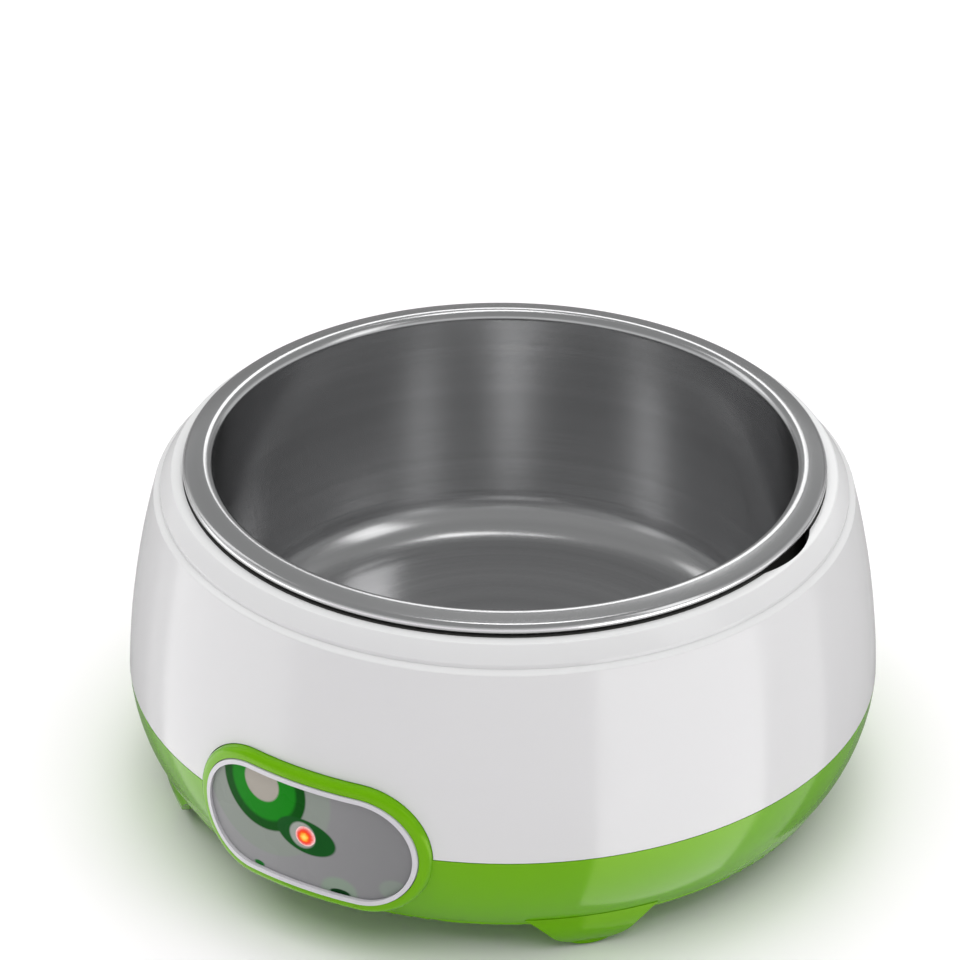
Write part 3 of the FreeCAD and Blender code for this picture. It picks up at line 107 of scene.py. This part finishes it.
def make_object(name, form):
    """An object in the scene made from a bmesh."""
    mesh = bpy.data.meshes.new(name)
    form.to_mesh(mesh)
    form.free()
    item = bpy.data.objects.new(name, mesh)
    bpy.context.scene.collection.objects.link(item)
    return item


def make_camera():
    """Long lens, well above the rim, turned to the panel's right."""
    pitch, yaw, roll = (math.radians(turn) for turn in (VIEW_PITCH, VIEW_YAW, VIEW_ROLL))
    target = Vector((0, 0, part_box("inner_pot")[1].z - POT_WALL))
    heading = yaw - math.radians(VIEW_TURN)
    ahead = Vector((math.sin(heading) * math.cos(pitch), math.cos(heading) * math.cos(pitch),
                    -math.sin(pitch)))
    right = ahead.cross(Vector((0, 0, 1))).normalized()
    up = right.cross(ahead)
    tilted_right = math.cos(roll) * right + math.sin(roll) * up
    tilted_up = math.cos(roll) * up - math.sin(roll) * right
    camera = bpy.data.objects.new("camera", bpy.data.cameras.new("camera"))
    camera.data.sensor_width = SENSOR_WIDTH
    camera.data.lens = LENS_LENGTH
    axes = Matrix((tilted_right, tilted_up, -ahead)).transposed()
    place = target + outward(VIEW_TURN, VIEW_RISE) * VIEW_REACH
    camera.matrix_world = Matrix.Translation(place) @ axes.to_4x4()
    bpy.context.scene.collection.objects.link(camera)
    bpy.context.scene.camera = camera


def softbox(name, turn, rise, distance, width, height, power):
    """Rectangular light that faces the middle of the object."""
    away = outward(turn, rise)
    lamp = bpy.data.lights.new(name, "AREA")
    lamp.shape = "RECTANGLE"
    lamp.size, lamp.size_y = width, height
    lamp.energy = power
    item = bpy.data.objects.new(name, lamp)
    item.location = Vector((0, 0, LIGHT_AIM)) + away * distance
    item.rotation_mode = "QUATERNION"
    item.rotation_quaternion = (-away).to_track_quat("-Z", "Y")
    bpy.context.scene.collection.objects.link(item)


def make_sky():
    """White at the horizon and grey overhead, so that steel has something dark to mirror."""
    world = bpy.data.worlds.new("studio")
    world.use_nodes = True
    tree = world.node_tree
    direction = tree.nodes.new("ShaderNodeTexCoord")
    split = tree.nodes.new("ShaderNodeSeparateXYZ")
    tree.links.new(direction.outputs["Generated"], split.inputs[0])
    shade = tree.nodes.new("ShaderNodeMapRange")
    shade.interpolation_type = "SMOOTHSTEP"
    shade.inputs["From Min"].default_value = SKY_TURNS_AT
    shade.inputs["From Max"].default_value = SKY_TURNED_AT
    shade.inputs["To Min"].default_value = SKY_LOW
    shade.inputs["To Max"].default_value = SKY_HIGH
    tree.links.new(split.outputs[2], shade.inputs["Value"])
    tree.links.new(shade.outputs[0], tree.nodes["Background"].inputs["Strength"])
    tree.nodes["Background"].inputs["Color"].default_value = (0.99, 1.0, 1.0, 1)
    bpy.context.scene.world = world


def make_lights():
    """A wide even light overhead, and softboxes at both sides and behind."""
    lamp = bpy.data.lights.new("overhead", "SUN")
    lamp.energy = SUN_POWER
    lamp.angle = math.radians(SUN_SPREAD)
    overhead = bpy.data.objects.new("overhead", lamp)
    overhead.visible_glossy = False
    bpy.context.scene.collection.objects.link(overhead)
    for box in SOFTBOXES:
        softbox(*box)


def glow_card(name, first, last, strength):
    """Wedge of light that lies in front of the object and shows only as a gloss band."""
    form = bmesh.new()
    corners = []
    for turn, reach in ((first, 0), (first, CARD_REACH), (last, CARD_REACH), (last, 0)):
        ahead = math.radians(2 * turn - VIEW_TURN)
        around = math.radians(turn)
        corners.append(form.verts.new((
            CARD_START * math.sin(around) + reach * math.sin(ahead),
            -CARD_START * math.cos(around) - reach * math.cos(ahead), CARD_HEIGHT)))
    form.faces.new(corners)
    card = make_object(name, form)
    paint = Finish(name, (0, 0, 0), 1.0)
    paint.set("Emission Color", (1, 1, 1, 1))
    reach = paint.node("ShaderNodeVectorMath", {0: paint.place}, operation="LENGTH")
    paint.link(paint.ramp(reach.outputs["Value"], CARD_START, CARD_FULL,
                          CARD_NEAR_SHARE * strength, strength), "Emission Strength")
    card.data.materials.append(paint.material)
    card.visible_camera = card.visible_diffuse = card.visible_shadow = False
    card.visible_transmission = False


def make_flag():
    """Grey flag behind the object that the steel mirrors."""
    form = bmesh.new()
    bmesh.ops.create_grid(form, x_segments=1, y_segments=1, size=0.5)
    stand = (Matrix.Rotation(math.radians(VIEW_TURN), 4, "Z")
             @ Matrix.Translation((0, FLAG_BACK, FLAG_RISE))
             @ Matrix.Rotation(math.radians(90), 4, "X")
             @ Matrix.Diagonal((FLAG_WIDTH, FLAG_HEIGHT, 1, 1)))
    bmesh.ops.transform(form, matrix=stand, verts=form.verts)
    flag = make_object("flag", form)
    paint = Finish("flag_grey", (0, 0, 0), 1.0)
    paint.set("Emission Color", (1, 1, 1, 1))
    paint.set("Emission Strength", FLAG_GLOW)
    flag.data.materials.append(paint.material)
    flag.visible_camera = flag.visible_diffuse = flag.visible_shadow = False


def make_floor():
    """White sweep that the object stands on."""
    form = bmesh.new()
    bmesh.ops.create_grid(form, x_segments=1, y_segments=1, size=FLOOR_HALF)
    floor = make_object("floor", form)
    # faint pink tint, painted to offset the green bounce light in the floor's shade
    paint = Finish("floor_white", (0.94, 0.91, 0.935), 1.0)
    paint.set("Specular IOR Level", 0)
    paint.mottle((0.95, 0.915, 0.945), (0.94, 0.91, 0.935), 3.0)
    floor.data.materials.append(paint.material)


# ---------------------------------------------------------------- finishes
class Finish:
    """A Principled material whose nodes are added step by step."""

    def __init__(self, name, colour, roughness, metallic=0.0):
        self.material = bpy.data.materials.new(name)
        self.material.use_nodes = True
        self.tree = self.material.node_tree
        self.shader = self.tree.nodes["Principled BSDF"]
        self.set("Base Color", (*colour, 1))
        self.set("Roughness", roughness)
        self.set("Metallic", metallic)
        self.place = self.tree.nodes.new("ShaderNodeTexCoord").outputs["Object"]
        self.material.diffuse_color = (*colour, 1)

    def set(self, socket, number):
        self.shader.inputs[socket].default_value = number

    def node(self, kind, inputs=(), **settings):
        """A new node; inputs is {socket: value or output}."""
        made = self.tree.nodes.new(kind)
        for key, choice in settings.items():
            setattr(made, key, choice)
        for key, given in dict(inputs).items():
            if isinstance(given, bpy.types.NodeSocket):
                self.tree.links.new(given, made.inputs[key])
            else:
                made.inputs[key].default_value = given
        return made

    def link(self, output, socket):
        self.tree.links.new(output, self.shader.inputs[socket])

    def math(self, operation, first, second=0.0):
        return self.node("ShaderNodeMath", {0: first, 1: second}, operation=operation).outputs[0]

    def noise(self, scale, detail=3.0, place=None):
        """Noise of a size in waves per metre."""
        made = self.node("ShaderNodeTexNoise", {"Vector": place or self.place, "Scale": scale,
                                                "Detail": detail})
        return made.outputs["Fac"]

    def ramp(self, factor, low, high, start=0.0, end=1.0):
        return self.node("ShaderNodeMapRange", {"Value": factor, "From Min": low, "From Max": high,
                                                "To Min": start, "To Max": end}).outputs[0]

    def blend(self, factor, first, second):
        """Mixes two colours by a factor."""
        made = self.node("ShaderNodeMix", {"Factor": factor}, data_type="RGBA")
        for index, given in ((6, first), (7, second)):
            if isinstance(given, bpy.types.NodeSocket):
                self.tree.links.new(given, made.inputs[index])
            else:
                made.inputs[index].default_value = (*given, 1)
        return made.outputs[2]

    def mottle(self, first, second, scale, detail=3.0):
        """Colour that drifts between two shades."""
        fac = self.ramp(self.noise(scale, detail), 0.3, 0.7)
        self.link(self.blend(fac, first, second), "Base Color")

    def bump(self, height, depth):
        """Relief of a depth in metres."""
        made = self.node("ShaderNodeBump", {"Height": height, "Distance": depth, "Strength": 1.0})
        self.link(made.outputs[0], "Normal")

    def drift(self, low, high, scale, detail=3.0):
        """Roughness that varies between two numbers."""
        self.link(self.ramp(self.noise(scale, detail), 0.3, 0.7, low, high), "Roughness")


def printed_face():
    """Grey face with painted shade to its right and plain printed circles laid out round the
    panel's curve.
    """
    paint = Finish("panel_print", (0.27, 0.275, 0.28), 0.28)
    split = paint.node("ShaderNodeSeparateXYZ", {0: paint.place})
    turn = paint.math("ARCTAN2", split.outputs[0], paint.math("MULTIPLY", split.outputs[1], -1))
    face = -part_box("control_panel")[0].y / MM
    spread = paint.node("ShaderNodeCombineXYZ", {
        0: paint.math("MULTIPLY", turn, face), 1: paint.math("DIVIDE", split.outputs[2], MM)})
    # painted shade: the face's grey grows darker from left to right across the panel
    drift = paint.ramp(split.outputs[0], -26 * MM, 22 * MM)
    colour = paint.blend(drift, (0.335, 0.335, 0.34), (0.235, 0.235, 0.24))
    for across, up, wide, tall, tilt, soft, shade, cover in PANEL_CIRCLES:
        local = paint.node("ShaderNodeMapping", {
            "Vector": spread.outputs[0], "Location": (across, up, 0),
            "Rotation": (0, 0, math.radians(tilt)), "Scale": (wide, tall, 1)},
            vector_type="TEXTURE")
        reach = paint.node("ShaderNodeVectorMath", {0: local.outputs[0]}, operation="LENGTH")
        inside = paint.ramp(reach.outputs["Value"], 1 - soft, 1 + soft, cover, 0)
        colour = paint.blend(inside, colour, shade)
    paint.link(colour, "Base Color")
    paint.set("Specular IOR Level", 0.04)
    paint.drift(0.26, 0.32, 60)
    paint.bump(paint.noise(900, 2.0), PRINT_DEPTH)
    return paint


def lit_lens():
    """Red lamp cover with a hot middle."""
    paint = Finish("lens_red", (0.6, 0.02, 0.01), 0.4)
    paint.set("Specular IOR Level", 0.06)
    low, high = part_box("indicator_lens")
    middle = (low + high) / 2
    glow_across, glow_up, glow_radius = 0.1 * MM, 0.2 * MM, 2.9 * MM
    local = paint.node("ShaderNodeMapping", {
        "Vector": paint.place, "Location": (middle.x + glow_across, 0, middle.z + glow_up),
        "Scale": (glow_radius, 1, glow_radius)}, vector_type="TEXTURE")
    flat = paint.node("ShaderNodeVectorMath", {0: local.outputs[0], 1: (1, 0, 1)},
                      operation="MULTIPLY")
    reach = paint.node("ShaderNodeVectorMath", {0: flat.outputs[0]}, operation="LENGTH")
    ragged = paint.math("ADD", reach.outputs["Value"],
                        paint.ramp(paint.noise(1400, 2.0), 0.3, 0.7, -0.06, 0.06))
    ramp = paint.node("ShaderNodeValToRGB", {"Fac": ragged})
    ramp.color_ramp.interpolation = "B_SPLINE"
    for place, shade in ((0.0, (1.0, 0.86, 0.22)), (0.22, (1.0, 0.60, 0.06)),
                         (0.42, (0.90, 0.055, 0.003)), (0.70, (0.70, 0.006, 0.002)),
                         (1.0, (0.50, 0.006, 0.002))):
        stop = ramp.color_ramp.elements.new(place)
        stop.color = (*shade, 1)
    ramp.color_ramp.elements.remove(ramp.color_ramp.elements[-1])
    paint.link(ramp.outputs[0], "Emission Color")
    paint.set("Emission Strength", 1.0)
    paint.set("Base Color", (0.12, 0.002, 0.001, 1))
    return paint


def moulded(name, first, second, roughness):
    """Glossy moulded plastic with a faint orange peel."""
    paint = Finish(name, first, roughness)
    paint.mottle(first, second, 18)
    paint.drift(roughness * 0.85, roughness * 1.2, 45)
    paint.bump(paint.noise(260, 1.0), PEEL_DEPTH)
    paint.set("IOR", 1.49)
    return paint


def leaf_green():
    """The base's green plastic: warm gloss over a saturated colour."""
    paint = moulded("leaf_green", (0.140, 0.410, 0.0025), (0.134, 0.398, 0.0025), 0.16)
    paint.set("Specular Tint", (0.85, 1.0, 0.22, 1))
    paint.set("Specular IOR Level", 0.45)
    return paint


def satin(name, first, second, roughness):
    """Dull moulded or sheet material with a fine grain."""
    paint = Finish(name, first, roughness)
    paint.mottle(first, second, 60)
    paint.drift(roughness * 0.85, min(roughness * 1.15, 1), 120)
    paint.bump(paint.noise(2400), GRAIN_DEPTH)
    return paint


def metal(name, first, second, roughness):
    """Plated or rolled metal with a fine grain."""
    paint = Finish(name, first, roughness, 1.0)
    paint.mottle(first, second, 90)
    grain = paint.noise(900, 4.0)
    paint.link(paint.ramp(grain, 0.3, 0.7, roughness * 0.75, roughness * 1.3), "Roughness")
    paint.bump(grain, PLATED_DEPTH)
    return paint


def turned_steel():
    """Stainless steel with fine turning lines round the axis."""
    paint = Finish("stainless_steel", (0.60, 0.60, 0.61), 0.2, 1.0)
    split = paint.node("ShaderNodeSeparateXYZ", {0: paint.place})
    around = paint.math("SQRT", paint.math(
        "ADD", paint.math("MULTIPLY", split.outputs[0], split.outputs[0]),
        paint.math("MULTIPLY", split.outputs[1], split.outputs[1])))
    rings = paint.node("ShaderNodeCombineXYZ", {0: around, 1: split.outputs[2], 2: 0.0})
    lines = paint.noise(5200, 3.0, place=rings.outputs[0])
    wide = paint.noise(260, 2.0, place=rings.outputs[0])
    paint.link(paint.blend(paint.ramp(wide, 0.3, 0.7), (0.57, 0.57, 0.575), (0.64, 0.64, 0.645)),
               "Base Color")
    paint.link(paint.ramp(lines, 0.3, 0.7, 0.16, 0.26), "Roughness")
    paint.bump(lines, TURNED_DEPTH)
    return paint


def make_finishes():
    """Every finish by the record's slot name."""
    return {
        "stainless_steel": turned_steel(),
        "shell_plastic": moulded("shell_white", (0.70, 0.70, 0.70), (0.69, 0.69, 0.694), 0.16),
        "base_plastic": leaf_green(),
        # painted shade: the liner is near black so the finger notches look as dark as a deep
        # recess
        "liner_plastic": moulded("liner_dark_painted_shade", (0.045, 0.045, 0.043), (0.055, 0.055, 0.052), 0.4),
        "silicone": satin("clear_silicone", (0.66, 0.66, 0.64), (0.62, 0.62, 0.60), 0.5),
        "pad_rubber": satin("pad_rubber", (0.035, 0.037, 0.035), (0.05, 0.05, 0.05), 0.75),
        "screw_steel": metal("zinc_plate", (0.62, 0.62, 0.63), (0.55, 0.56, 0.58), 0.28),
        "label_stock": satin("silver_label", (0.60, 0.61, 0.62), (0.56, 0.57, 0.58), 0.32),
        "bezel_plastic": moulded("bezel_silver", (0.66, 0.65, 0.68), (0.62, 0.61, 0.64), 0.22),
        "panel_print": printed_face(),
        "lens_red": lit_lens(),
        "led_clear": satin("led_clear", (0.7, 0.2, 0.15), (0.65, 0.2, 0.15), 0.15),
        "board_laminate": satin("board_tan", (0.35, 0.22, 0.07), (0.30, 0.19, 0.06), 0.5),
        "component_body": satin("component_tan", (0.28, 0.18, 0.09), (0.24, 0.15, 0.07), 0.4),
        "plate_aluminium": metal("plate_aluminium", (0.74, 0.74, 0.75), (0.68, 0.68, 0.69), 0.3),
        "heater_ceramic": satin("heater_ceramic", (0.46, 0.43, 0.38), (0.50, 0.47, 0.43), 0.7),
        "terminal_brass": metal("tinned_brass", (0.66, 0.52, 0.27), (0.72, 0.60, 0.36), 0.3),
        "mica": satin("mica_flake", (0.42, 0.37, 0.26), (0.52, 0.47, 0.36), 0.35),
        "spring_steel": metal("spring_strip", (0.55, 0.55, 0.56), (0.50, 0.50, 0.52), 0.25),
        "fuse_body": satin("fuse_white", (0.68, 0.65, 0.58), (0.64, 0.61, 0.54), 0.4),
        "inlet_plastic": satin("inlet_black", (0.02, 0.02, 0.02), (0.028, 0.028, 0.028), 0.45),
        "crimp_sleeve": satin("crimp_sleeve", (0.56, 0.55, 0.48), (0.60, 0.59, 0.52), 0.4),
        "wire_brown": satin("wire_brown", (0.09, 0.028, 0.01), (0.11, 0.035, 0.012), 0.45),
        "wire_blue": satin("wire_blue", (0.012, 0.05, 0.30), (0.015, 0.06, 0.34), 0.45),
        "wire_red": satin("wire_red", (0.36, 0.012, 0.01), (0.40, 0.015, 0.012), 0.45),
        "wire_black": satin("wire_black", (0.012, 0.012, 0.012), (0.02, 0.02, 0.02), 0.45),
    }


# ---------------------------------------------------------------- pieces
def finish_piece(name, form, body, slot, replaced):
    """Turns a bmesh that already faces outward into a piece: merged, smooth apart from its sharp
    turns.
    """
    bmesh.ops.remove_doubles(form, verts=form.verts, dist=MERGE_GAP)
    for face in form.faces:
        face.smooth = True
    for edge in form.edges:
        edge.smooth = edge.calc_face_angle(math.pi) < SHARP_TURN
    piece = make_object(name, form)
    piece.data.materials.append(FINISHES[slot].material)
    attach(piece, body)
    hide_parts(*replaced)
    return piece


def smooth_copy(node):
    """A merged, smooth-shaded copy that stands for a node of the frame."""
    form = bmesh.new()
    form.from_mesh(frame["nodes"][node].data)
    return finish_piece(node + "_skin", form, BODY_OF[node], SLOTS[node], [node])


def even_shading(piece):
    """Shades large faces flat and leaves the turn to the small ones at their edges."""
    even = piece.modifiers.new("even_shading", "WEIGHTED_NORMAL")
    even.mode = "FACE_AREA"
    even.keep_sharp = True


def arc_middle(low, high, radius):
    """Centre, on the axis side, of the arc between two (across, up) points."""
    half = (high - low) / 2
    rise = math.sqrt(radius * radius - half.length_squared)
    return (low + high) / 2 + Vector((-half.y, half.x)).normalized() * rise


def even_turned_faces(piece, low, high, radius):
    """Gives the bowed wall of a body of revolution its true normals."""
    mesh = piece.data
    normals = [corner.vector.copy() for corner in mesh.corner_normals]
    middle = arc_middle(low, high, radius)
    for face in mesh.polygons:
        for loop in face.loop_indices:
            place = mesh.vertices[mesh.loops[loop].vertex_index].co
            across = math.hypot(place.x, place.y)
            away = Vector((across, place.z)) - middle
            if not low.y - HAIR < place.z < high.y + HAIR or abs(away.length - radius) > HAIR:
                continue
            away.normalize()
            out = Vector((place.x / across * away.x, place.y / across * away.x, away.y))
            if out.dot(face.normal) > NEAR_WALL:
                normals[loop] = out
    mesh.normals_split_custom_set(normals)


def make_shell_and_base():
    """Shell and base as the frame has them, with their bowed walls shaded true."""
    low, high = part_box("outer_shell")
    body, seam = high.x, low.z
    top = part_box("inner_pot")[1].z - POT_WALL
    shoulder_in, shoulder_down, barrel_bow = 7.0 * MM, 8.9 * MM, 212 * MM
    foot_in, foot_up, bowl_bow = 8.3 * MM, 9.2 * MM, 42 * MM
    barrel = (Vector((body, seam)), Vector((body - shoulder_in, top - shoulder_down)), barrel_bow)
    bowl = (Vector((body - foot_in, foot_up)), Vector((body, seam - FIT_GAP)), bowl_bow)
    even_turned_faces(smooth_copy("outer_shell"), *barrel)
    even_turned_faces(smooth_copy("lower_base"), *bowl)


def outline(corners):
    """A wire of (across, up, round) points beside the axis, its corners rounded by an arc."""
    form = bmesh.new()
    points = [form.verts.new((across, 0, up)) for across, up, turn in corners]
    for first, second in zip(points, points[1:]):
        form.edges.new((first, second))
    for point, (across, up, turn) in zip(points, corners):
        if turn:
            near, far = (edge.other_vert(point).co - point.co for edge in point.link_edges)
            slide = turn / math.tan(near.angle(far) / 2)
            bmesh.ops.bevel(form, geom=[point], offset=slide, segments=ROUND_STEPS, profile=0.5,
                            affect="VERTICES", material=-1)
    return form


def turn_on_axis(form):
    """Spins an outline once round the axis and closes it."""
    bmesh.ops.spin(form, geom=form.verts[:] + form.edges[:], cent=(0, 0, 0), axis=(0, 0, 1),
                   angle=math.tau, steps=SPIN_STEPS, use_merge=True)
    bmesh.ops.remove_doubles(form, verts=form.verts, dist=MERGE_GAP)
    bmesh.ops.recalc_face_normals(form, faces=form.faces)
    return form


def make_pot():
    """Pressed pot: round bottom corner, straight wall, sloping rim rolled under at its edge."""
    low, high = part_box("inner_pot")
    rim, crest, base = high.x, high.z, low.z
    wall, rim_width, corner = POT_WALL, 7.5 * MM, 12 * MM
    inner = rim - rim_width
    # across, up, rounding of each corner
    form = outline([
        (0, base, 0),
        (inner + wall, base, corner),
        (inner + wall, crest - 0.75 * MM, 1.6 * MM),
        (rim - 2.3 * MM, crest - 1.35 * MM, 0.5 * MM),
        (rim - 2.2 * MM, crest - 3.4 * MM, 0.9 * MM),
        (rim, crest - 3.4 * MM, 1.1 * MM),
        (rim, crest - 1.0 * MM, 1.5 * MM),
        (inner, crest + 0.55 * MM, 2.5 * MM),
        (inner, base + wall, corner - wall),
        (0, base + wall, 0)])
    return finish_piece("pressed_pot", turn_on_axis(form), "pot", "stainless_steel",
                        ["inner_pot"])


FINISHES = make_finishes()
OWN_SHAPES = {"inner_pot", "outer_shell", "lower_base"}
SLOTS = {item["node"]: item["material_slot"] for item in frame["record"]["subparts"]}
BODY_OF = {node: body for body, nodes in frame["record"]["behaviour"]["bodies"].items()
           for node in nodes}

make_camera()
make_sky()
make_lights()
make_floor()
for number, (first, last, strength) in enumerate(GLOSS_BANDS):
    glow_card("gloss_card_%d" % number, first, last, strength)
make_flag()
bpy.context.scene.view_settings.view_transform = "Standard"
make_pot()
make_shell_and_base()
for node in sorted(set(frame["nodes"]) - OWN_SHAPES):
    even_shading(smooth_copy(node))
